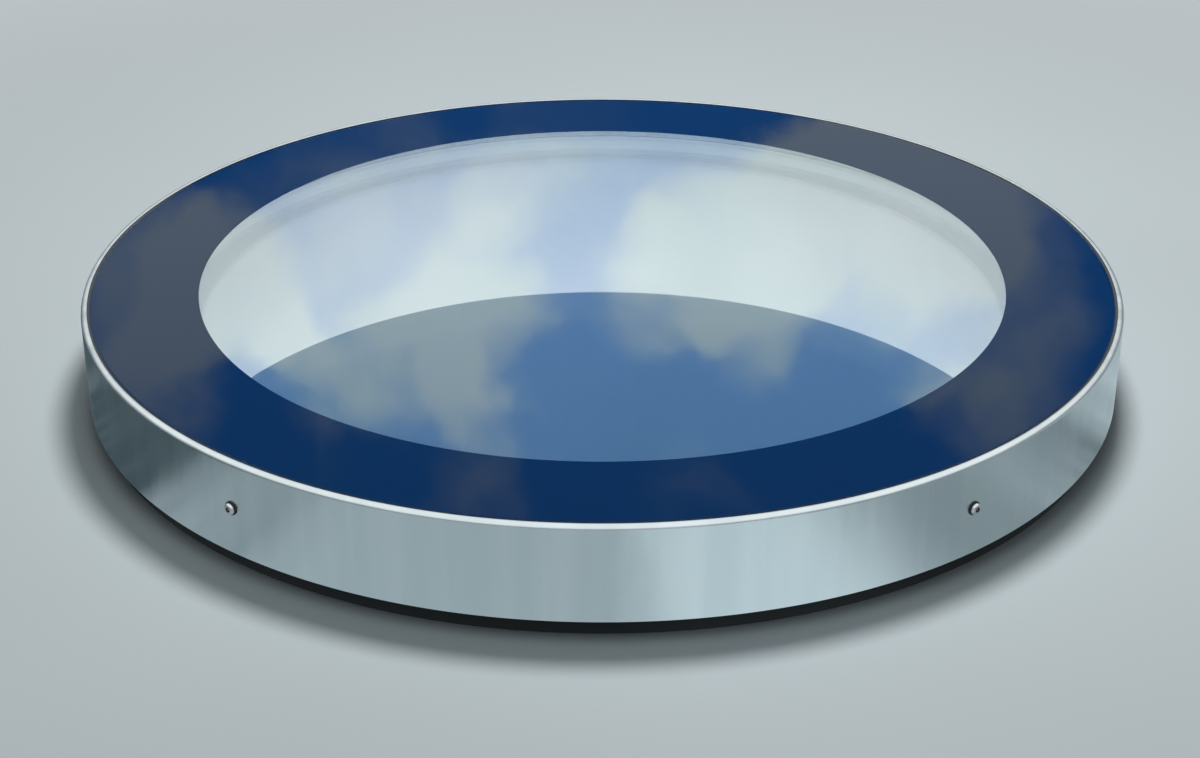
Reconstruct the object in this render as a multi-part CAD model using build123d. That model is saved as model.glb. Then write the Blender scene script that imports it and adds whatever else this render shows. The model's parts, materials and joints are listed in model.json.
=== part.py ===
from build123d import *

import os
from math import cos, radians, sin

# Round flat roof skylight: a sealed double-glazed unit with a dark printed border, bonded into a polished
# sheet skirt and an aluminium carrier, on a white moulded upstand. Millimetres, +Z up, origin at the middle
# of the upstand's foot, front towards -Y.

# Overall sizes
overall_diameter = 1000.0
glass_top_height = 238.0
skirt_height = 88.0

# Polished sheet skirt
skirt_sheet = 2.0
skirt_lip_width = 6.0
skirt_shoulder_radius = 4.0
skirt_foot_round = 0.7
skirt_segment_count = 4
liner_above_skirt_foot = 14.0

# Glass unit
pane_joint_width = 2.0
outer_pane_thickness = 6.0
pane_arris = 0.8
border_thickness = 0.1
border_width = 102.0
cavity_depth = 16.0
inner_pane_thickness = 8.8
inner_pane_clearance = 10.0
spacer_width = 7.0
spacer_wall = 0.8
edge_seal_width = 10.0
butyl_thickness = 0.3

# Aluminium carrier
carrier_wall = 4.0
carrier_flange_depth = 8.0
carrier_inset = 2.0
carrier_inner_round = 3.0
bonding_tape_thickness = 1.0
bonding_tape_inset = 6.0

# Bedding between the carrier and the outer pane
bedding_depth = 2.9
glazing_tape_inset = 3.0
glazing_tape_width = 12.0
structural_seal_width = 16.0
setting_block_count = 8
setting_block_width = 8.0
setting_block_length = 60.0
setting_block_gap = 2.0

# Weather joint round the outer pane
weather_seal_recess = 0.4
weather_seal_depth = 3.0
backer_rod_clearance = 0.05

# Upstand and its gasket
upstand_wall = 43.0
upstand_foot_round = 3.0
upstand_top_round = 2.0
covering_gap = 5.0
gasket_height = 6.0
gasket_width = 34.0
gasket_groove_width = 4.0
gasket_groove_depth = 2.0
gap_foam_seat = 6.0

# Skirt fixings
screw_count = 5
screw_pair_angle = 76.0
screw_above_skirt_foot = 44.0
screw_shank_diameter = 6.0
screw_shank_length = 28.0
screw_tip_share = 0.12
screw_head_diameter = 10.5
screw_head_height = 3.3
screw_head_edge_share = 0.2
screw_head_flat_share = 0.57
screw_socket_across_flats = 4.0
screw_socket_depth = 2.0
screw_pin_diameter = 1.6
screw_pin_height = 1.7
screw_hole_clearance = 0.3
thread_clearance = 0.05
washer_diameter = 12.6
washer_thickness = 1.0
bush_diameter = 14.0
curved_seat_gap = 0.1
screw_insert_diameter = 10.0
screw_insert_tip_room = 5.0

# Foot fixings
foot_insert_count = 8
foot_insert_diameter = 13.0
foot_insert_length = 30.0
foot_insert_bore = 6.8

# How far cutters run past the faces they cut
overrun = 5.0

# Radii worked out from the sizes above, from the skirt inwards
skirt_outer = overall_diameter / 2
skirt_inner = skirt_outer - skirt_sheet
lip_inner = skirt_outer - skirt_lip_width
inner_bend_radius = skirt_shoulder_radius - skirt_sheet
outer_pane_radius = lip_inner - pane_joint_width
border_inner = outer_pane_radius - border_width
carrier_outer = skirt_inner - bonding_tape_thickness
carrier_flange_inner = carrier_outer - carrier_wall
upstand_outer = carrier_flange_inner - covering_gap
upstand_inner = upstand_outer - upstand_wall
carrier_inner = upstand_inner + carrier_inset
inner_pane_radius = upstand_inner - inner_pane_clearance
edge_seal_inner = inner_pane_radius - edge_seal_width
spacer_inner = edge_seal_inner - spacer_width
glazing_tape_inner = carrier_inner + glazing_tape_inset
structural_seal_inner = glazing_tape_inner + glazing_tape_width
structural_seal_outer = structural_seal_inner + structural_seal_width
setting_block_inner = structural_seal_outer + setting_block_gap
gasket_inner = (upstand_inner + upstand_outer - gasket_width) / 2
gasket_outer = gasket_inner + gasket_width

# Heights worked out from the sizes above, from the glass down
lip_under = glass_top_height - skirt_sheet
skirt_foot = glass_top_height - skirt_height
outer_pane_under = glass_top_height - outer_pane_thickness
border_under = outer_pane_under - border_thickness
inner_pane_top = border_under - cavity_depth
inner_pane_under = inner_pane_top - inner_pane_thickness
carrier_top = border_under - bedding_depth
carrier_under = carrier_top - carrier_wall
carrier_flange_foot = carrier_under - carrier_flange_depth
liner_foot = skirt_foot + liner_above_skirt_foot
upstand_top = carrier_under - gasket_height
weather_seal_top = glass_top_height - pane_arris - weather_seal_recess
weather_seal_foot = lip_under - weather_seal_depth
screw_height = skirt_foot + screw_above_skirt_foot

# Fixing places: a pair of screws about the front, and the others spaced evenly round the back
front_angle = -90.0
screw_spacing = (360.0 - screw_pair_angle) / (screw_count - 1)
screw_angles = [front_angle + screw_pair_angle / 2 + screw_spacing * place for place in range(screw_count)]
screw_seat = skirt_outer + washer_thickness
screw_insert_start = screw_seat - screw_shank_length - screw_insert_tip_room
screw_clearance_radius = screw_shank_diameter / 2 + screw_hole_clearance
thread_radius = screw_shank_diameter / 2 + thread_clearance
bush_radius = bush_diameter / 2
skirt_seams = [360.0 / skirt_segment_count * (place + 1 / 2) for place in range(skirt_segment_count)]
foot_insert_circle = upstand_inner + upstand_wall / 2
foot_insert_angles = [360.0 / foot_insert_count * place for place in range(foot_insert_count)]

# Rods and boxes grow upwards from their place
standing = (Align.CENTER, Align.CENTER, Align.MIN)


def rounded_ring(outline, rounds, arc=360.0):
    """A ring or arc about Z from (radius, height) points, with rounds of corner number to radius."""
    face = make_face(Polyline(*outline, close=True))
    for corner, radius in rounds.items():
        nearest = face.vertices().sort_by_distance(Vector(*outline[corner]))[0]
        face = fillet(nearest, radius)
    return revolve(Plane.XZ * face, Axis.Z, arc)


def flat_ring(inner, outer, low, high):
    """A ring with a plain rectangular section."""
    return rounded_ring([(inner, low), (outer, low), (outer, high), (inner, high)], {})


def disc(radius, low, high):
    """A round pane with its two edges broken by an arris."""
    blank = Pos(0, 0, low) * Cylinder(radius, high - low, align=standing)
    return chamfer(blank.edges().filter_by(GeomType.CIRCLE), pane_arris)


def outwards(angle):
    """Turns a shape built along +Z to point outwards at that angle, at the height of the screws."""
    return Rot(0, 0, angle) * Pos(0, 0, screw_height) * Rot(0, 90, 0)


def radial_rod(radius, start, end, angle):
    """A rod along a screw's line, between two distances from the skylight's axis."""
    return outwards(angle) * Pos(0, 0, start) * Cylinder(radius, end - start, align=standing)


def radial_tube(bore, radius, start, end, angle):
    """A rod along a screw's line with a bore through it."""
    return radial_rod(radius, start, end, angle) - radial_rod(bore, start - overrun, end + overrun, angle)


def screw_holes(radius, start, end):
    """Cutters for one hole at each screw."""
    return [radial_rod(radius, start, end, angle) for angle in screw_angles]


def foot_rod(radius, start, end, angle):
    """An upright rod on the circle of the foot fixings."""
    across, along = cos(radians(angle)), sin(radians(angle))
    place = Pos(foot_insert_circle * across, foot_insert_circle * along, start)
    return place * Cylinder(radius, end - start, align=standing)


def group(piece, angles):
    """One piece at each angle, as separate solids in one node."""
    return Compound(children=[piece(angle).solid() for angle in angles])


# Polished skirt: rolled sheet whose top edge turns in over a rounded shoulder, in arcs that meet at the seams
def skirt_arc(seam):
    outline = [
        (skirt_inner, skirt_foot),
        (skirt_outer, skirt_foot),
        (skirt_outer, glass_top_height),
        (lip_inner, glass_top_height),
        (lip_inner, lip_under),
        (skirt_inner, lip_under),
    ]
    rounds = {1: skirt_foot_round, 2: skirt_shoulder_radius, 5: inner_bend_radius}
    arc = Rot(0, 0, seam) * rounded_ring(outline, rounds, 360.0 / skirt_segment_count)
    return arc - screw_holes(screw_clearance_radius, skirt_inner - overrun, skirt_outer + overrun)


# Sealed glass unit, from the top down
def outer_pane():
    return disc(outer_pane_radius, outer_pane_under, glass_top_height)


def ceramic_border():
    return flat_ring(border_inner, outer_pane_radius - pane_arris, border_under, outer_pane_under)


def butyl_seal(low):
    return flat_ring(spacer_inner, edge_seal_inner, low, low + butyl_thickness)


def spacer_sections():
    """The hollow spacer bar and the drying beads that fill it."""
    low, high = inner_pane_top + butyl_thickness, border_under - butyl_thickness
    hollow_inner, hollow_outer = spacer_inner + spacer_wall, edge_seal_inner - spacer_wall
    beads = flat_ring(hollow_inner, hollow_outer, low + spacer_wall, high - spacer_wall)
    return flat_ring(spacer_inner, edge_seal_inner, low, high) - beads, beads


def edge_seal():
    return flat_ring(edge_seal_inner, inner_pane_radius, inner_pane_top, border_under)


def inner_pane():
    return disc(inner_pane_radius, inner_pane_under, inner_pane_top)


# Aluminium carrier: a ledge under the outer pane and a flange behind the skirt, which is taped to it
def carrier_ring():
    outline = [
        (carrier_inner, carrier_under),
        (carrier_flange_inner, carrier_under),
        (carrier_flange_inner, carrier_flange_foot),
        (carrier_outer, carrier_flange_foot),
        (carrier_outer, carrier_top),
        (carrier_inner, carrier_top),
    ]
    return rounded_ring(outline, {1: carrier_inner_round})


# Foam liner that stops the sheet from drumming, taped inside the skirt below the carrier's flange
def skirt_liner():
    ring = flat_ring(carrier_flange_inner, carrier_outer, liner_foot, carrier_flange_foot)
    return ring - screw_holes(bush_radius, carrier_flange_inner - overrun, carrier_outer + overrun)


def bonding_tape():
    low, high = liner_foot + bonding_tape_inset, carrier_top - bonding_tape_inset
    ring = flat_ring(carrier_outer, skirt_inner, low, high)
    return ring - screw_holes(bush_radius, carrier_outer - overrun, skirt_inner + overrun)


# Bedding of the outer pane on the carrier
def glazing_tape():
    return flat_ring(glazing_tape_inner, structural_seal_inner, carrier_top, border_under)


def structural_seal():
    return flat_ring(structural_seal_inner, structural_seal_outer, carrier_top, border_under)


def setting_blocks():
    setting_block_outer = setting_block_inner + setting_block_width
    band = flat_ring(setting_block_inner, setting_block_outer, carrier_top, border_under)
    sector = (Align.MIN, Align.CENTER, Align.MIN)
    reach = Box(setting_block_outer + overrun, setting_block_length, glass_top_height, align=sector)
    angles = [360.0 / setting_block_count * (place + 1 / 2) for place in range(setting_block_count)]
    return group(lambda angle: band & (Rot(0, 0, angle) * reach), angles)


# Weather joint: silicone between the pane's edge and the lip, backed by a foam rod
def weather_seal():
    outline = [
        (outer_pane_radius, weather_seal_foot),
        (skirt_inner, weather_seal_foot),
        (skirt_inner, lip_under - inner_bend_radius),
        (skirt_inner - inner_bend_radius, lip_under),
        (lip_inner, lip_under),
        (lip_inner, weather_seal_top),
        (outer_pane_radius, weather_seal_top),
    ]
    return rounded_ring(outline, {})


def backer_rod():
    channel = weather_seal_foot - carrier_top
    middle_radius = (outer_pane_radius + skirt_inner) / 2
    return Pos(0, 0, carrier_top + channel / 2) * Torus(middle_radius, channel / 2 - backer_rod_clearance)


# White moulded upstand, with pockets for the threaded inserts of the skirt screws and of its foot
def upstand():
    outline = [
        (upstand_inner, 0),
        (upstand_outer, 0),
        (upstand_outer, upstand_top),
        (upstand_inner, upstand_top),
    ]
    rounds = {0: upstand_foot_round, 1: upstand_foot_round, 2: upstand_top_round, 3: upstand_top_round}
    ring = rounded_ring(outline, rounds)
    ring -= screw_holes(screw_insert_diameter / 2, screw_insert_start, upstand_outer + overrun)
    pocket = foot_insert_diameter / 2
    return ring - [foot_rod(pocket, -overrun, foot_insert_length, angle) for angle in foot_insert_angles]


def kerb_gasket():
    middle = (gasket_inner + gasket_outer) / 2
    ring = flat_ring(gasket_inner, gasket_outer, upstand_top, carrier_under)
    for side in (gasket_inner, gasket_outer):
        groove_inner = (side + middle - gasket_groove_width) / 2
        groove_outer = groove_inner + gasket_groove_width
        groove_top = upstand_top + gasket_groove_depth
        ring -= flat_ring(groove_inner, groove_outer, upstand_top - overrun, groove_top)
    return ring


def gap_foam():
    return flat_ring(inner_pane_radius, upstand_inner, upstand_top - gap_foam_seat, carrier_top)


# Skirt fixings: button-head pin screws, sealing washers, packing bushes and threaded inserts
def screw_head():
    head_radius = screw_head_diameter / 2
    edge_height = screw_head_height * screw_head_edge_share
    flat_radius = head_radius * screw_head_flat_share
    outline = make_face(
        [
            Line((0, 0), (head_radius, 0)),
            Line((head_radius, 0), (head_radius, edge_height)),
            RadiusArc((head_radius, edge_height), (flat_radius, screw_head_height), -head_radius),
            Line((flat_radius, screw_head_height), (0, screw_head_height)),
            Line((0, screw_head_height), (0, 0)),
        ]
    )
    socket_floor = Pos(0, 0, screw_head_height - screw_socket_depth)
    hexagon = RegularPolygon(screw_socket_across_flats / 2, 6, major_radius=False)
    socket = socket_floor * extrude(hexagon, screw_socket_depth + overrun)
    pin = socket_floor * Cylinder(screw_pin_diameter / 2, screw_pin_height, align=standing)
    return revolve(Plane.XZ * outline, Axis.Z) - socket + pin


def skirt_screw(angle):
    shank = Pos(0, 0, -screw_shank_length) * Cylinder(
        screw_shank_diameter / 2, screw_shank_length, align=standing
    )
    tip_edge = shank.edges().filter_by(GeomType.CIRCLE).sort_by(Axis.Z)[0]
    shank = chamfer(tip_edge, screw_shank_diameter * screw_tip_share)
    return outwards(angle) * Pos(0, 0, screw_seat) * (screw_head() + shank)


def screw_washer(angle):
    return radial_tube(thread_radius, washer_diameter / 2, skirt_outer, screw_seat, angle)


def packing_bush(angle):
    bush_end = skirt_inner - curved_seat_gap
    return radial_tube(screw_clearance_radius, bush_radius, upstand_outer, bush_end, angle)


def screw_insert(angle):
    insert_end = upstand_outer - curved_seat_gap
    return radial_tube(thread_radius, screw_insert_diameter / 2, screw_insert_start, insert_end, angle)


# Threaded inserts in the foot, for bolts that come up through the deck
def foot_insert(angle):
    body = foot_rod(foot_insert_diameter / 2, 0, foot_insert_length, angle)
    return body - foot_rod(foot_insert_bore / 2, -overrun, foot_insert_length + overrun, angle)


def main():
    spacer_bar, drying_beads = spacer_sections()
    nodes = {
        "skirt_ring": group(skirt_arc, skirt_seams),
        "outer_pane": outer_pane(),
        "ceramic_border": ceramic_border(),
        "upper_butyl_seal": butyl_seal(border_under - butyl_thickness),
        "spacer_bar": spacer_bar,
        "drying_beads": drying_beads,
        "lower_butyl_seal": butyl_seal(inner_pane_top),
        "edge_seal": edge_seal(),
        "inner_pane": inner_pane(),
        "carrier_ring": carrier_ring(),
        "skirt_liner": skirt_liner(),
        "bonding_tape": bonding_tape(),
        "glazing_tape": glazing_tape(),
        "structural_seal": structural_seal(),
        "setting_blocks": setting_blocks(),
        "weather_seal": weather_seal(),
        "backer_rod": backer_rod(),
        "gap_foam": gap_foam(),
        "kerb_gasket": kerb_gasket(),
        "upstand": upstand(),
        "skirt_screws": group(skirt_screw, screw_angles),
        "screw_washers": group(screw_washer, screw_angles),
        "packing_bushes": group(packing_bush, screw_angles),
        "screw_inserts": group(screw_insert, screw_angles),
        "foot_inserts": group(foot_insert, foot_insert_angles),
    }
    os.makedirs("parts", exist_ok=True)
    for name, shape in nodes.items():
        export_step(shape, f"parts/{name}.step")


main()
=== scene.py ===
import json
import math
import bmesh
import bpy
from mathutils import Matrix, Vector


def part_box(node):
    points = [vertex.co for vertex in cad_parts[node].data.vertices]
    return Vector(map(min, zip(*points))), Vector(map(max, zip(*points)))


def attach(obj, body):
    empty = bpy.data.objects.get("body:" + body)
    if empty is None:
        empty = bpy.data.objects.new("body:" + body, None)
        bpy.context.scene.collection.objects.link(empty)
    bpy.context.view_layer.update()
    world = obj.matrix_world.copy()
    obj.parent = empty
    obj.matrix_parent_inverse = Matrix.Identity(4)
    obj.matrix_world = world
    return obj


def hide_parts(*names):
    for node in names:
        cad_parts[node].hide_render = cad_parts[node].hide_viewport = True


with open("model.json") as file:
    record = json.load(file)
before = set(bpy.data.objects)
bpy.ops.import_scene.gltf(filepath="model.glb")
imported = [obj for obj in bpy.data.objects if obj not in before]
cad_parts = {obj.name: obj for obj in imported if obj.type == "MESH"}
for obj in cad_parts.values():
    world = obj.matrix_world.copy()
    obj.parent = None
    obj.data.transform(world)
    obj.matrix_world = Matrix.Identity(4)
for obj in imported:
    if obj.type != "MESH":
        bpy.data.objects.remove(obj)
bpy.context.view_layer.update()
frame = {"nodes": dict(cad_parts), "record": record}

nodes = frame["nodes"]
axisZ = Vector((0, 0, 1))
print("frame loaded:", len(nodes), "nodes")


# Shader maths

class Wire:  # one socket of a material, so that node maths reads as plain sums
    def __init__(self, tree, socket=None):
        self.tree = tree
        self.socket = socket

    def plug(self, target, value):
        if isinstance(value, Wire):
            self.tree.links.new(value.socket, target)
        elif target.type == "RGBA" and len(value) == 3:
            target.default_value = (*value, 1)
        else:
            target.default_value = value

    def node(self, kind, settings=None, sockets=None, out=0):
        made = self.tree.nodes.new("ShaderNode" + kind)
        for key, value in (settings or {}).items():
            setattr(made, key, value)
        for key, value in (sockets or {}).items():
            self.plug(made.inputs[key], value)
        return Wire(self.tree, made.outputs[out])

    def maths(self, operation, *values):
        return self.node("Math", {"operation": operation}, dict(enumerate(values)))

    def __add__(self, other):
        return self.maths("ADD", self, other)

    def __sub__(self, other):
        return self.maths("SUBTRACT", self, other)

    def __rsub__(self, other):
        return self.maths("SUBTRACT", other, self)

    def __mul__(self, other):
        return self.maths("MULTIPLY", self, other)

    __radd__ = __add__
    __rmul__ = __mul__

    def ramp(self, low, high):  # 0 below low, 1 above high, smooth between
        settings = {"interpolation_type": "SMOOTHSTEP"}
        return self.node("MapRange", settings, {"Value": self, "From Min": low, "From Max": high})

    def blend(self, first, second):  # from the first colour to the second as this goes from 0 to 1
        return self.node("Mix", {"data_type": "RGBA"}, {"Factor": self, 6: first, 7: second}, 2)

    def noise(self, place, scale, detail=3, out=0):
        sockets = {"Vector": place, "Scale": scale, "Detail": detail}
        return self.node("TexNoise", None, sockets, out)


def newFinish(name):  # a material, its Principled shader and a wire to build with
    finish = bpy.data.materials.new(name)
    finish.use_nodes = True
    shader = finish.node_tree.nodes["Principled BSDF"]
    return finish, shader, Wire(finish.node_tree)


def objectPlace(wire):
    return wire.node("TexCoord", out="Object")


def bump(wire, height, strength, distance, under=None):  # under is a bump that this one lies on
    sockets = {"Height": height, "Strength": strength, "Distance": distance}
    if under:
        sockets["Normal"] = under
    return wire.node("Bump", None, sockets)


def roundPlace(wire, stretch):  # angle and height round the unit, as a vector that noise can follow
    split = wire.node("SeparateXYZ", None, {"Vector": objectPlace(wire)})
    x, y, z = (Wire(wire.tree, socket) for socket in split.socket.node.outputs)
    length = wire.maths("SQRT", x * x + y * y)
    across = wire.maths("DIVIDE", x, length)
    along = wire.maths("DIVIDE", y, length)
    return wire.node("CombineXYZ", None, {"X": across, "Y": along, "Z": z * stretch})


# Finishes

polishedSheet = {
    "pale": (0.70, 0.745, 0.755),
    "deep": (0.63, 0.68, 0.695),
    "roughness": (0.22, 0.32),
    "streakScale": 14.0,  # upright streaks, as wiped sheet has
    "streakStretch": 0.12,
    "streakRange": (0.35, 0.68),
    "waveScale": 9.0,  # soft waves round the ring, from rolling thin sheet
    "waveStretch": 0.9,
    "waveHeight": 0.0022,
    "waveStrength": 1.0,
    "grainScale": 3.0,  # fine polishing lines that run round the ring
    "grainStretch": 900.0,
    "grainHeight": 0.0002,
    "grainStrength": 0.25,
}


def makePolishedSheet():
    spec = polishedSheet
    finish, shader, wire = newFinish("polished_sheet")
    waves = wire.noise(roundPlace(wire, spec["waveStretch"]), spec["waveScale"], 2)
    grain = wire.noise(roundPlace(wire, spec["grainStretch"]), spec["grainScale"], 2)
    streak = wire.noise(roundPlace(wire, spec["streakStretch"]), spec["streakScale"])
    streak = streak.ramp(*spec["streakRange"])
    wire.plug(shader.inputs["Base Color"], streak.blend(spec["deep"], spec["pale"]))
    low, high = spec["roughness"]
    wire.plug(shader.inputs["Roughness"], (grain + streak) * ((high - low) / 2) + low)
    fine = bump(wire, grain, spec["grainStrength"], spec["grainHeight"])
    wire.plug(shader.inputs["Normal"], bump(wire, waves, spec["waveStrength"], spec["waveHeight"], fine))
    shader.inputs["Metallic"].default_value = 1.0
    return finish


clearGlass = {
    "clear": (1.0, 1.0, 1.0), "tint": (0.955, 0.985, 0.98), "index": 1.5,
    "hazeScale": 3.5, "hazeRange": (0.3, 0.7),  # where the tint comes and goes
    "shade": (0.90, 0.95, 0.95),  # what a pane lets through to the shadow side
}


def makeClearGlass():
    spec = clearGlass
    finish, shader, wire = newFinish("clear_glass")
    haze = wire.noise(objectPlace(wire), spec["hazeScale"], 4).ramp(*spec["hazeRange"])
    wire.plug(shader.inputs["Base Color"], haze.blend(spec["clear"], spec["tint"]))
    shader.inputs["Roughness"].default_value = 0.0
    shader.inputs["IOR"].default_value = spec["index"]
    shader.inputs["Transmission Weight"].default_value = 1.0
    through = wire.node("BsdfTransparent", None, {"Color": spec["shade"]})
    lampRay = wire.node("LightPath", out="Is Shadow Ray")  # lamps reach the wall below through the panes
    mixed = wire.node("MixShader", None, {0: lampRay, 1: Wire(wire.tree, shader.outputs[0]), 2: through})
    output = finish.node_tree.nodes["Material Output"]
    wire.plug(output.inputs["Surface"], mixed)
    return finish


printedBorder = {
    "deep": (0.002, 0.014, 0.048), "pale": (0.003, 0.018, 0.058), "roughness": (0.5, 0.6),
    "dotScale": 900.0, "dotRange": (0.4, 0.6),
}


def makePrintedBorder():
    spec = printedBorder
    finish, shader, wire = newFinish("printed_border")
    dots = wire.noise(objectPlace(wire), spec["dotScale"], 2)
    wire.plug(shader.inputs["Base Color"], dots.ramp(*spec["dotRange"]).blend(spec["deep"], spec["pale"]))
    low, high = spec["roughness"]
    wire.plug(shader.inputs["Roughness"], dots * (high - low) + low)
    shader.inputs["Specular IOR Level"].default_value = 0.0  # the gloss is the pane's
    return finish


whiteGelcoat = {
    "pale": (0.90, 0.925, 0.935), "shade": (0.84, 0.87, 0.885), "roughness": (0.34, 0.46),
    "mottleScale": 6.0, "mottleRange": (0.35, 0.65),
    "peelScale": 55.0, "peelStrength": 0.12, "peelHeight": 0.0006,  # faint orange peel
}


def makeWhiteGelcoat():
    spec = whiteGelcoat
    finish, shader, wire = newFinish("white_gelcoat")
    mottle = wire.noise(objectPlace(wire), spec["mottleScale"], 4)
    peel = wire.noise(objectPlace(wire), spec["peelScale"], 2)
    patchy = mottle.ramp(*spec["mottleRange"])
    wire.plug(shader.inputs["Base Color"], patchy.blend(spec["shade"], spec["pale"]))
    low, high = spec["roughness"]
    wire.plug(shader.inputs["Roughness"], mottle * (high - low) + low)
    wire.plug(shader.inputs["Normal"], bump(wire, peel, spec["peelStrength"], spec["peelHeight"]))
    return finish


plainGrain = {"range": (0.35, 0.65), "strength": 0.4}
plainFinishes = {  # colour pair, roughness pair, metal, grain scale and grain height of the plainer finishes
    "black_sealant": ((0.012, 0.012, 0.014), (0.022, 0.022, 0.025), (0.32, 0.46), 0, 140.0, 0.0004),
    "black_rubber": ((0.016, 0.016, 0.017), (0.03, 0.03, 0.032), (0.5, 0.66), 0, 420.0, 0.0002),
    "foam_tape": ((0.05, 0.05, 0.054), (0.085, 0.085, 0.09), (0.7, 0.85), 0, 700.0, 0.0002),
    "grey_foam": ((0.40, 0.41, 0.42), (0.50, 0.51, 0.52), (0.78, 0.92), 0, 380.0, 0.0006),
    "spacer_grey": ((0.64, 0.66, 0.67), (0.72, 0.74, 0.75), (0.42, 0.55), 0, 240.0, 0.0001),
    "drying_beads": ((0.66, 0.62, 0.55), (0.82, 0.79, 0.73), (0.7, 0.9), 0, 800.0, 0.0008),
    "black_nylon": ((0.03, 0.03, 0.032), (0.05, 0.05, 0.053), (0.4, 0.52), 0, 300.0, 0.0001),
    "mill_aluminium": ((0.68, 0.69, 0.7), (0.8, 0.81, 0.82), (0.32, 0.5), 1, 160.0, 0.0002),
    "insert_brass": ((0.62, 0.46, 0.22), (0.78, 0.6, 0.32), (0.26, 0.4), 1, 500.0, 0.0001),
}


def makePlainFinish(name):
    deep, pale, (low, high), metal, scale, height = plainFinishes[name]
    finish, shader, wire = newFinish(name)
    grain = wire.noise(objectPlace(wire), scale)
    wire.plug(shader.inputs["Base Color"], grain.ramp(*plainGrain["range"]).blend(deep, pale))
    wire.plug(shader.inputs["Roughness"], grain * (high - low) + low)
    wire.plug(shader.inputs["Normal"], bump(wire, grain, plainGrain["strength"], height))
    shader.inputs["Metallic"].default_value = metal
    return finish


screwSteel = {
    "deep": (0.58, 0.59, 0.60), "pale": (0.74, 0.75, 0.76), "roughness": (0.2, 0.34),
    "grainScale": 900.0, "grainHeight": 0.00005,
    "shadeColour": (0.012, 0.014, 0.013), "shadeRoughness": 0.4,  # added where painted shade darkens the steel, in the socket and round the head
}


def makeScrewSteel():
    spec = screwSteel
    finish, shader, wire = newFinish("screw_steel")
    grain = wire.noise(objectPlace(wire), spec["grainScale"])
    painted_shade = wire.node("Attribute", {"attribute_name": "painted_shade"}, out="Fac")  # painted shade in the socket and round the head
    bright = grain.ramp(*plainGrain["range"]).blend(spec["deep"], spec["pale"])
    wire.plug(shader.inputs["Base Color"], painted_shade.blend(bright, spec["shadeColour"]))
    low, high = spec["roughness"]
    wire.plug(shader.inputs["Roughness"], grain * (high - low) + painted_shade * spec["shadeRoughness"] + low)
    wire.plug(shader.inputs["Metallic"], 1 - painted_shade)
    wire.plug(shader.inputs["Normal"], bump(wire, grain, plainGrain["strength"], spec["grainHeight"]))
    return finish


finishes = {name: makePlainFinish(name) for name in plainFinishes}
finishes["screw_steel"] = makeScrewSteel()
finishes["polished_sheet"] = makePolishedSheet()
finishes["clear_glass"] = makeClearGlass()
finishes["printed_border"] = makePrintedBorder()
finishes["white_gelcoat"] = makeWhiteGelcoat()
slotOf = {row["node"]: row["material_slot"] for row in frame["record"]["subparts"]}
for name, piece in nodes.items():  # every carried-over node takes its slot's finish
    piece.data.materials.clear()
    piece.data.materials.append(finishes[slotOf[name]])
print("finishes made:", len(finishes))


# Modelling helpers

nearby = 1e-5  # metres within which a corner counts as found
mergeWithin = 1e-6


def ringFrom(outline, steps):  # spins a few (radius, height) corners into a closed ring
    bm = bmesh.new()
    corners = [bm.verts.new((radius, 0, height)) for radius, height in outline]
    for first, second in zip(corners, corners[1:] + corners[:1]):
        bm.edges.new((first, second))
    bmesh.ops.spin(
        bm, geom=bm.verts[:] + bm.edges[:], cent=(0, 0, 0), axis=axisZ,
        angle=2 * math.pi, steps=steps, use_merge=True,
    )
    bmesh.ops.remove_doubles(bm, verts=bm.verts, dist=mergeWithin)
    bmesh.ops.recalc_face_normals(bm, faces=bm.faces)
    return bm


def discFrom(radius, low, high, steps):
    bm = bmesh.new()
    bmesh.ops.create_circle(bm, cap_ends=True, segments=steps, radius=radius)
    bmesh.ops.translate(bm, verts=bm.verts, vec=(0, 0, low))
    raised = bmesh.ops.extrude_face_region(bm, geom=bm.faces[:])["geom"]
    top = [part for part in raised if isinstance(part, bmesh.types.BMVert)]
    bmesh.ops.translate(bm, verts=top, vec=(0, 0, high - low))
    bmesh.ops.recalc_face_normals(bm, faces=bm.faces)
    return bm


def roundCorner(bm, radius, height, width, segments):  # rounds the ring of edges at that radius and height
    def there(vert):
        return abs(math.hypot(vert.co.x, vert.co.y) - radius) < nearby and abs(vert.co.z - height) < nearby
    ring = [edge for edge in bm.edges if all(there(vert) for vert in edge.verts)]
    bmesh.ops.bevel(bm, geom=ring, offset=width, affect="EDGES", segments=segments, profile=0.5, material=-1)


def finishPiece(bm, name, slot, replaced, sharp=35):
    mesh = bpy.data.meshes.new(name)
    bm.to_mesh(mesh)
    bm.free()
    mesh.shade_smooth()
    mesh.set_sharp_from_angle(angle=math.radians(sharp))
    mesh.materials.append(finishes[slot])
    piece = bpy.data.objects.new(name, mesh)
    bpy.context.scene.collection.objects.link(piece)
    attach(piece, "root")
    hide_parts(replaced)


def reach(node):  # a node's outer radius, lowest and highest point
    low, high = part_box(node)
    return max(high.x, -low.x), low.z, high.z


# Skirt: rolled sheet with a rounded shoulder

skirt = {
    "sheet": 0.002, "lip": 0.006, "steps": 360,
    "shoulder": 0.004, "shoulderSteps": 8, "innerSteps": 4,  # the shoulder's outer and inner round
    "footRound": 0.0007, "footSteps": 3,
}


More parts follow.
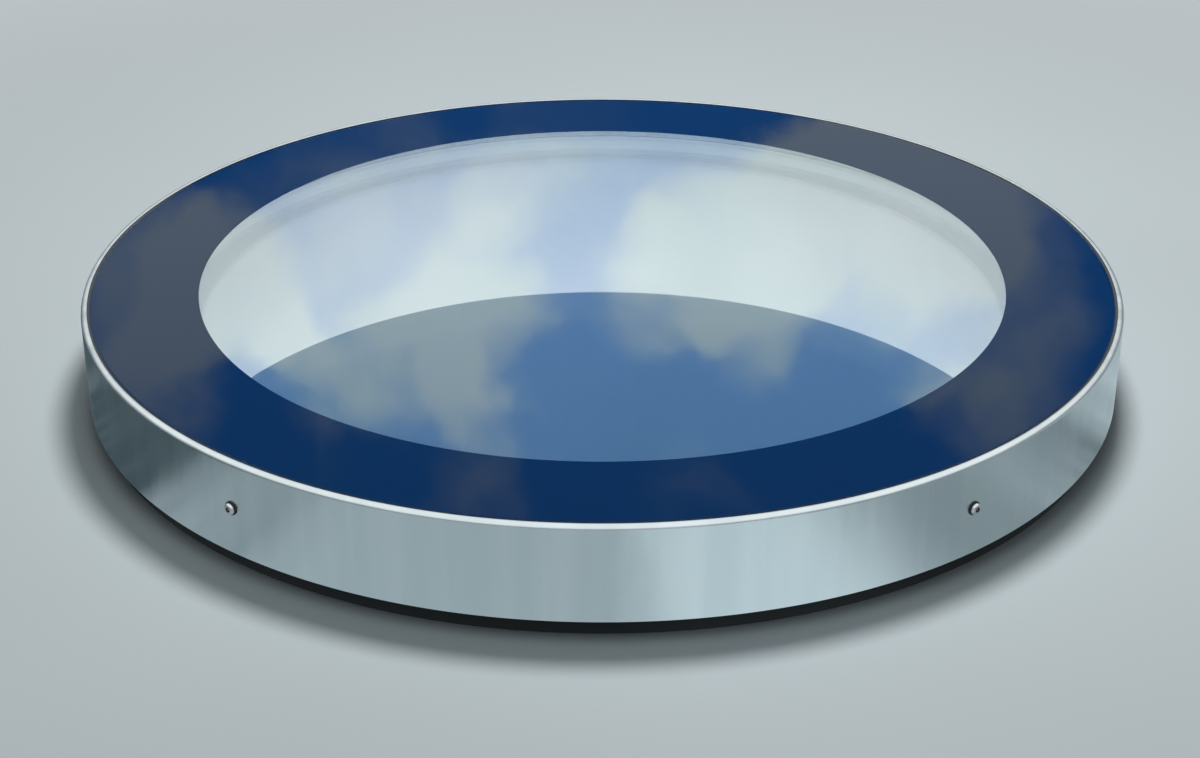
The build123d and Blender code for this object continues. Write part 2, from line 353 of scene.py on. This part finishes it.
def makeSkirt():
    outer, foot, top = reach("skirt_ring")
    outer = round(outer, 4)
    inner = outer - skirt["sheet"]
    lip = outer - skirt["lip"]
    under = top - skirt["sheet"]
    outline = [(inner, foot), (outer, foot), (outer, top), (lip, top), (lip, under), (inner, under)]
    bm = ringFrom(outline, skirt["steps"])
    roundCorner(bm, outer, top, skirt["shoulder"], skirt["shoulderSteps"])
    roundCorner(bm, inner, under, skirt["shoulder"] - skirt["sheet"], skirt["innerSteps"])
    roundCorner(bm, outer, foot, skirt["footRound"], skirt["footSteps"])
    roundCorner(bm, lip, top, skirt["footRound"], skirt["footSteps"])
    finishPiece(bm, "skirt", "polished_sheet", "skirt_ring")


# Glass unit and its printed border

glass = {
    "arris": 0.0008, "arrisSteps": 2, "sharp": 20, "steps": 256,
    "printWidth": 0.1012, "sunk": 0.0002,  # the print is fired into the glass
}


def makeGlass():
    for name, node in (("outerGlass", "outer_pane"), ("innerGlass", "inner_pane")):
        radius, low, high = reach(node)
        radius = round(radius, 4)
        bm = discFrom(radius, low, high, glass["steps"])
        roundCorner(bm, radius, high, glass["arris"], glass["arrisSteps"])
        roundCorner(bm, radius, low, glass["arris"], glass["arrisSteps"])
        finishPiece(bm, name, "clear_glass", node, glass["sharp"])
    paneRadius = reach("outer_pane")[0]
    low, high = reach("ceramic_border")[1:]
    outer = round(paneRadius, 4) - glass["arris"]
    inner = outer - glass["printWidth"]
    outline = [(inner, low), (outer, low), (outer, high + glass["sunk"]), (inner, high + glass["sunk"])]
    finishPiece(ringFrom(outline, glass["steps"]), "printBand", "printed_border", "ceramic_border")


# Silicone joint between the glass and the lip, tooled slightly hollow

joint = {"width": 0.002, "depth": 0.003, "bend": 0.002, "hollow": 0.0005, "sharp": 60, "steps": 256}


def makeJoint():
    outer, low, high = reach("weather_seal")
    outer = round(outer, 4)
    glassEdge = round(reach("outer_pane")[0], 4)
    lip = glassEdge + joint["width"]
    under = low + joint["depth"]
    middle = (glassEdge + lip) / 2
    outline = [
        (glassEdge, low), (outer, low), (outer, under - joint["bend"]), (outer - joint["bend"], under),
        (lip, under), (lip, high), (middle, high - joint["hollow"]), (glassEdge, high),
    ]
    bm = ringFrom(outline, joint["steps"])
    finishPiece(bm, "siliconeJoint", "black_sealant", "weather_seal", joint["sharp"])


# White upstand

wall = {
    "thickness": 0.043, "steps": 256,
    "footRound": 0.003, "footSteps": 5, "topRound": 0.002, "topSteps": 4,
}


def makeUpstand():
    outer, foot, top = reach("upstand")
    outer = round(outer, 4)
    inner = outer - wall["thickness"]
    bm = ringFrom([(inner, foot), (outer, foot), (outer, top), (inner, top)], wall["steps"])
    for radius in (inner, outer):
        roundCorner(bm, radius, foot, wall["footRound"], wall["footSteps"])
        roundCorner(bm, radius, top, wall["topRound"], wall["topSteps"])
    finishPiece(bm, "whiteUpstand", "white_gelcoat", "upstand")


# Screws with a domed head, a six-sided socket and a pin in it, on rubber washers

screws = {
    "count": 5, "front": -90.0, "pair": 76.0,  # degrees, the pair on both sides of the front
    "seat": 0.001, "head": 0.00525, "edge": 0.00066, "height": 0.0033, "flat": 0.0030, "domeSteps": 6,
    "flats": 0.0040, "socket": 0.0020, "pin": 0.0008, "pinHeight": 0.0017,
    "shank": 0.0030, "length": 0.028, "tip": 0.0007, "segments": 48,
    # painted shade: how dark the rim, the socket's mouth, its floor and the pin are painted
    "rimShade": 0.9, "mouthShade": 0.6, "socketShade": 1.0, "pinShade": 0.3,
}
washers = {"radius": 0.0063, "bore": 0.00305, "round": 0.00035, "roundSteps": 3, "steps": 48}


def stepRing(bm, loop, radius, height):  # grows a new ring from a loop, round or six-sided
    grown = bmesh.ops.extrude_edge_only(bm, edges=loop)["geom"]
    verts = [part for part in grown if isinstance(part, bmesh.types.BMVert)]
    for vert in verts:
        turn = math.atan2(vert.co.y, vert.co.x)
        wide = radius(turn) if callable(radius) else radius
        vert.co = (wide * math.cos(turn), wide * math.sin(turn), height)
    edges = [part for part in grown if isinstance(part, bmesh.types.BMEdge)]
    return [edge for edge in edges if all(vert in verts for vert in edge.verts)]


def sixSided(turn):  # distance from the middle to the side of the socket
    side = math.pi / 3
    return screws["flats"] / 2 / math.cos((turn + side / 2) % side - side / 2)


def paintShade(bm, loop, amount):  # painted shade on a ring of the screw, 0 none to 1 dark
    layer = bm.verts.layers.float.get("painted_shade")
    for vert in {vert for edge in loop for vert in edge.verts}:
        vert[layer] = amount


def makeScrew():
    bm = bmesh.new()
    bm.verts.layers.float.new("painted_shade")
    bmesh.ops.create_circle(bm, segments=screws["segments"], radius=screws["head"])
    rim = bm.edges[:]
    shank = stepRing(bm, rim, screws["shank"], 0)
    shank = stepRing(bm, shank, screws["shank"], screws["tip"] - screws["length"])
    shank = stepRing(bm, shank, screws["shank"] - screws["tip"], -screws["length"])
    bmesh.ops.edgeloop_fill(bm, edges=shank)
    dome = stepRing(bm, rim, screws["head"], screws["edge"])
    for loop in (rim, dome):
        paintShade(bm, loop, screws["rimShade"])
    for step in range(1, screws["domeSteps"] + 1):
        lean = step / screws["domeSteps"] * math.pi / 2
        wide = screws["flat"] + (screws["head"] - screws["flat"]) * math.cos(lean)
        tall = screws["edge"] + (screws["height"] - screws["edge"]) * math.sin(lean)
        dome = stepRing(bm, dome, wide, tall)
        paintShade(bm, dome, 0)
    mouth = stepRing(bm, dome, sixSided, screws["height"])
    paintShade(bm, mouth, screws["mouthShade"])
    deep = stepRing(bm, mouth, sixSided, screws["height"] - screws["socket"])
    foot = stepRing(bm, deep, screws["pin"], screws["height"] - screws["socket"])
    for loop in (deep, foot):
        paintShade(bm, loop, screws["socketShade"])
    pinTop = screws["height"] - screws["socket"] + screws["pinHeight"]
    pin = stepRing(bm, foot, screws["pin"], pinTop - screws["pin"] / 3)
    pin = stepRing(bm, pin, screws["pin"] * 2 / 3, pinTop)
    paintShade(bm, pin, screws["pinShade"])
    bmesh.ops.edgeloop_fill(bm, edges=pin)
    bmesh.ops.recalc_face_normals(bm, faces=bm.faces)
    return bm


def makeWasher():
    bore, radius, top = washers["bore"], washers["radius"], screws["seat"]
    bm = ringFrom([(bore, 0), (radius, 0), (radius, top), (bore, top)], washers["steps"])
    roundCorner(bm, radius, top, washers["round"], washers["roundSteps"])
    roundCorner(bm, radius, 0, washers["round"], washers["roundSteps"])
    return bm


def placeRound(makeOne, radius, height):  # one copy at each screw, facing outwards
    everyOne = bmesh.new()
    spacing = (360 - screws["pair"]) / (screws["count"] - 1)
    outwards = Matrix.Translation((radius, 0, height)) @ Matrix.Rotation(math.pi / 2, 4, "Y")
    for place in range(screws["count"]):
        turn = math.radians(screws["front"] + screws["pair"] / 2 + spacing * place)
        one = makeOne()
        one.transform(Matrix.Rotation(turn, 4, "Z") @ outwards)
        mesh = bpy.data.meshes.new("one")
        one.to_mesh(mesh)
        one.free()
        everyOne.from_mesh(mesh)
        bpy.data.meshes.remove(mesh)
    return everyOne


def makeScrews():
    low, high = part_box("skirt_screws")
    height = (low.z + high.z) / 2
    outer = round(reach("skirt_ring")[0], 4)
    bm = placeRound(makeScrew, outer + screws["seat"], height)
    finishPiece(bm, "pinScrews", "screw_steel", "skirt_screws")
    bm = placeRound(makeWasher, outer, height)
    finishPiece(bm, "sealWashers", "black_rubber", "screw_washers")


makeSkirt()
makeGlass()
makeJoint()
makeUpstand()
makeScrews()
print("rings, glass and screws made")


# Stage: a pale floor at roof level that the upstand passes through, a near-black band round the upstand as
# painted shadow under the skirt, and a dim room under it

stage = {
    "clear": 0.0003, "steps": 128, "backdrop": (0.50, 0.54, 0.56),
    "patchScale": 1.5, "patchRange": (0.3, 0.7), "patchShade": 0.97, "roughness": 0.9,
}
floor = {
    "drop": 0.016, "size": 4.0, "tint": (0.54, 0.60, 0.62), "fade": (0.75, 1.6),
    "deepPaintedReflection": (0.065, 0.10, 0.115), "palePaintedReflection": (0.69, 0.82, 0.87),  # what shiny metal shows of the floor, a painted reflection rather than the lit floor
    "even": 0.6, "leftRise": (-1.0, -0.55),  # levels and where they set in, from -1 on the left to 1
    "bright": 0.37, "brightRise": (0.0, 0.17),
    "dim": 0.26, "dimRise": (0.38, 0.66),
    "edge": 0.3, "edgeRise": (0.92, 1.0),
    "ripple": 1.1, "rippleScale": 7.0, "leftEnd": (-0.85, -0.4), "rightEnd": (0.72, 0.88),
}
shadowBand = {"thickness": 0.003, "height": 0.059, "tint": (0.006, 0.008, 0.009)}  # a near-black band turned up behind the skirt, painted shadow in the gap under it
room = {
    "depth": 0.75, "radius": 1.1, "gap": 0.002, "upright": 0.9,  # how far up or down a lid's normal points
    # floorTint is a darker copy of the wall tint: painted shade on the drum's bottom, where the room lamp
    # would light it too brightly
    "tint": (0.34, 0.51, 0.65), "floorTint": (0.15, 0.21, 0.26),
}


def plainTint(name, tint):  # a matt material and the wire of its shader
    finish, shader, wire = newFinish(name)
    patch = wire.noise(objectPlace(wire), stage["patchScale"], 2).ramp(*stage["patchRange"])
    darker = tuple(stage["patchShade"] * part for part in tint)
    wire.plug(shader.inputs["Base Color"], patch.blend(darker, tint))
    shader.inputs["Roughness"].default_value = stage["roughness"]
    return finish, Wire(wire.tree, shader.outputs[0])


# Painted reflection: shiny rays see the floor glow by angle round the unit, dark at the far left, brightest
# just right of the front, dimmer further right, brighter at the right edge and rippled at both ends, which
# paints the sheet's highlight band and streaks
def makeFloorTint():
    finish, matt = plainTint("floorTint", floor["tint"])
    turned = matt.node("SeparateXYZ", None, {"Vector": roundPlace(matt, 0.0)}, "X")
    dimmer = turned.ramp(*floor["dimRise"])
    level = turned.ramp(*floor["leftRise"]) * floor["even"]
    level = level + turned.ramp(*floor["brightRise"]) * (1 - dimmer) * floor["bright"]
    level = level - dimmer * floor["dim"] + turned.ramp(*floor["edgeRise"]) * floor["edge"]
    ends = 1 - turned.ramp(*floor["leftEnd"]) + turned.ramp(*floor["rightEnd"])  # uneven at both ends
    ripple = matt.noise(roundPlace(matt, 0.0), floor["rippleScale"], 2) - 0.5  # either way from the middle
    level = level + ripple * ends * floor["ripple"]
    shine = matt.node("Emission", None, {"Color": level.blend(floor["deepPaintedReflection"], floor["palePaintedReflection"])})
    glossy = matt.node("LightPath", out="Is Glossy Ray")
    near = matt.node("MixShader", None, {0: glossy, 1: matt, 2: shine})
    distance = matt.node("VectorMath", {"operation": "LENGTH"}, {0: objectPlace(matt)}, "Value")
    far = matt.node("Emission", None, {"Color": stage["backdrop"]})  # far out the camera sees the backdrop
    seen = matt.node("LightPath", out="Is Camera Ray")
    mixed = matt.node("MixShader", None, {0: distance.ramp(*floor["fade"]) * seen, 1: near, 2: far})
    matt.plug(finish.node_tree.nodes["Material Output"].inputs["Surface"], mixed)
    return finish


def stagePiece(bm, name, *tints):
    mesh = bpy.data.meshes.new(name)
    bm.to_mesh(mesh)
    bm.free()
    for tint in tints:
        mesh.materials.append(tint)
    piece = bpy.data.objects.new(name, mesh)
    bpy.context.scene.collection.objects.link(piece)


def makeFloor(level, hole):
    bm = bmesh.new()
    bmesh.ops.create_circle(bm, segments=stage["steps"], radius=hole)
    bmesh.ops.create_circle(bm, segments=stage["steps"], radius=floor["size"])
    bmesh.ops.bridge_loops(bm, edges=bm.edges)
    bmesh.ops.translate(bm, verts=bm.verts, vec=(0, 0, level))
    bmesh.ops.recalc_face_normals(bm, faces=bm.faces)
    stagePiece(bm, "floor", makeFloorTint())


# painted shadow: a near-black band from the floor up behind the skirt's foot
def makeShadowBand(level, hole):
    edge, rise = hole + shadowBand["thickness"], level + shadowBand["height"]
    bm = ringFrom([(hole, level), (edge, level), (edge, rise), (hole, rise)], stage["steps"])
    stagePiece(bm, "shadowBand", plainTint("shadowBandTint", shadowBand["tint"])[0])


def makeRoom(level):  # an open drum
    depth, radius = level + room["depth"], room["radius"]
    bm = bmesh.new()
    bmesh.ops.create_cone(
        bm, cap_ends=True, segments=stage["steps"], radius1=radius, radius2=radius, depth=depth
    )
    lid = [face for face in bm.faces if face.normal.z > room["upright"]]
    bmesh.ops.delete(bm, geom=lid, context="FACES_ONLY")
    for face in bm.faces:
        face.material_index = 1 if face.normal.z < -room["upright"] else 0  # the drum's bottom is darker, painted shade against the room lamp's bright pool there
    bmesh.ops.translate(bm, verts=bm.verts, vec=(0, 0, level - room["gap"] - depth / 2))
    tints = plainTint("roomTint", room["tint"])[0], plainTint("roomFloorShade", room["floorTint"])[0]
    stagePiece(bm, "room", *tints)


roofLevel = reach("skirt_ring")[1] - floor["drop"]
roofHole = reach("upstand")[0] + stage["clear"]
makeFloor(roofLevel, roofHole)
makeShadowBand(roofLevel, roofHole)
makeRoom(roofLevel)
print("stage set")


# Camera at the photograph's viewing angle

camera = {"place": (-0.0022, -1.9922), "aboveGlass": 0.8751, "pitch": 63.424, "lens": 66.63, "sensor": 36.0}


def makeCamera():
    lens = bpy.data.cameras.new("camera")
    lens.lens = camera["lens"]
    lens.sensor_width = camera["sensor"]
    eye = bpy.data.objects.new("camera", lens)
    eye.location = (*camera["place"], reach("outer_pane")[2] + camera["aboveGlass"])
    eye.rotation_euler = (math.radians(camera["pitch"]), 0, 0)
    bpy.context.scene.collection.objects.link(eye)
    bpy.context.scene.camera = eye


makeCamera()


# Soft light: large lamps overhead and a dome with soft white patches on blue, which the glass mirrors

lamps = {  # place, where it points, size in metres, watts, spread in degrees, colour
    "backKey": ((0.2, 0.6, 2.9), (0, 0, 0.15), 0.8, 66.0, 180, (1, 1, 1)),
    "frontTop": ((-0.3, -0.9, 2.6), (0, 0, 0.15), 1.6, 3.0, 180, (1, 1, 1)),
    "room": ((0.0, -0.55, -0.35), (0, 0.44, 0.11), 0.5, 6.8, 150, (0.9, 0.98, 1)),  # on the white wall
}
dome = {
    "blue": (0.02, 0.14, 0.50), "white": (0.48, 0.55, 0.545),
    "plain": (0.12, 0.13, 0.135),  # what lights the stage
    "low": (0.28, 0.30, 0.31), "high": (1.10, 1.16, 1.18),  # what shiny metal shows low down and overhead
    "rise": (0.1, 0.6),
    "window": (0.0, 25.0, 15.0, 22.0),  # where the glass mirrors the blue: right, up, inner and outer degrees
    "around": (0.26, 0.34, 0.46),  # what the glass mirrors past that window
    "wobbleScale": 16.0, "wobble": 0.08,  # frays the patches
    "wispScale": 22.0, "wispRange": (0.42, 0.75), "wisps": 0.3,  # thin white between them
    "patchReach": 1.7, "patchRange": (0.1, 1.3),
}
patches = [  # degrees right of straight ahead, degrees up, size in degrees, strength
    (-12.8, 24.0, 1.8, 0.8), (-12.3, 25.9, 1.0, 0.5), (-9.8, 24.3, 1.6, 1.0), (-8.4, 25.2, 1.0, 0.5),
    (-8.2, 22.1, 1.6, 0.35), (-5.0, 22.4, 2.0, 0.55), (-2.2, 21.5, 1.3, 0.35), (-3.1, 23.7, 1.3, 0.5),
    (-7.8, 26.2, 1.2, 0.5), (-4.8, 25.6, 1.6, 0.8), (-2.6, 25.6, 1.4, 0.8), (-3.7, 27.1, 0.9, 0.5),
    (1.6, 23.3, 1.0, 0.6), (3.7, 22.7, 1.8, 1.0), (6.4, 22.2, 2.0, 1.0), (9.4, 23.3, 1.6, 0.5),
    (7.1, 20.5, 1.4, 0.7), (9.4, 21.5, 1.8, 0.8), (11.5, 22.4, 1.4, 0.6), (1.8, 25.0, 1.2, 0.7),
    (4.0, 25.1, 1.4, 0.8), (9.0, 26.1, 0.7, 0.4), (11.9, 25.8, 1.4, 0.7), (10.5, 27.3, 1.2, 0.5),
    (-3.8, 29.4, 1.3, 0.45), (3.0, 29.6, 1.2, 0.3), (-1.1, 19.7, 1.8, 0.3),
]


def aim(place, target):
    return (Vector(target) - Vector(place)).to_track_quat("-Z", "Y").to_euler()


def makeLamps():
    for name, (place, target, size, watts, spread, colour) in lamps.items():
        lamp = bpy.data.lights.new(name, "AREA")
        lamp.shape = "DISK"
        lamp.size = size
        lamp.energy = watts
        lamp.spread = math.radians(spread)
        lamp.color = colour
        holder = bpy.data.objects.new(name, lamp)
        holder.location = place
        holder.rotation_euler = aim(place, target)
        holder.visible_camera = False
        holder.visible_glossy = False  # shiny faces show the dome and the floor, not the lamps
        holder.visible_transmission = False
        bpy.context.scene.collection.objects.link(holder)


def makeDome():
    world = bpy.data.worlds.new("dome")
    bpy.context.scene.world = world
    world.use_nodes = True
    wire = Wire(world.node_tree)
    background = world.node_tree.nodes["Background"]
    way = wire.node("TexCoord", out="Generated")
    wobble = wire.noise(way, dome["wobbleScale"], 6, "Color")
    centred = wire.node("VectorMath", {"operation": "SUBTRACT"}, {0: wobble, 1: (0.5, 0.5, 0.5)})
    amount = (dome["wobble"],) * 3
    moved = wire.node("VectorMath", {"operation": "MULTIPLY_ADD"}, {0: centred, 1: amount, 2: way})
    stirred = wire.node("VectorMath", {"operation": "NORMALIZE"}, {0: moved})

    def nearness(direction, right, up, inner, outer):  # 1 inside the inner angle, 0 past the outer one
        turn, lift = math.radians(right), math.radians(up)
        centre = (math.sin(turn) * math.cos(lift), math.cos(turn) * math.cos(lift), math.sin(lift))
        facing = wire.node("VectorMath", {"operation": "DOT_PRODUCT"}, {0: direction, 1: centre}, "Value")
        return facing.ramp(math.cos(math.radians(outer)), math.cos(math.radians(inner)))

    total = wire.noise(stirred, dome["wispScale"], 5).ramp(*dome["wispRange"]) * dome["wisps"]
    for right, up, size, strength in patches:
        total = total + nearness(stirred, right, up, 0, size * dome["patchReach"]) * strength
    sky = total.ramp(*dome["patchRange"]).blend(dome["blue"], dome["white"])
    rise = wire.node("SeparateXYZ", None, {"Vector": way}, "Z")
    pale = rise.ramp(*dome["rise"]).blend(dome["low"], dome["high"])
    sharp = wire.node("LightPath", out="Is Singular Ray")  # the glass mirrors the blue, the sheet the pale
    glazed = nearness(way, *dome["window"]).blend(dome["around"], sky)
    mirrored = sharp.blend(pale, glazed)
    glossy = wire.node("LightPath", out="Is Glossy Ray").blend(dome["plain"], mirrored)
    seen = wire.node("LightPath", out="Is Camera Ray").blend(glossy, stage["backdrop"])
    wire.plug(background.inputs["Color"], seen)
    background.inputs["Strength"].default_value = 1.0


makeLamps()
makeDome()
bpy.context.scene.view_settings.view_transform = "Standard"
print("light and camera set")
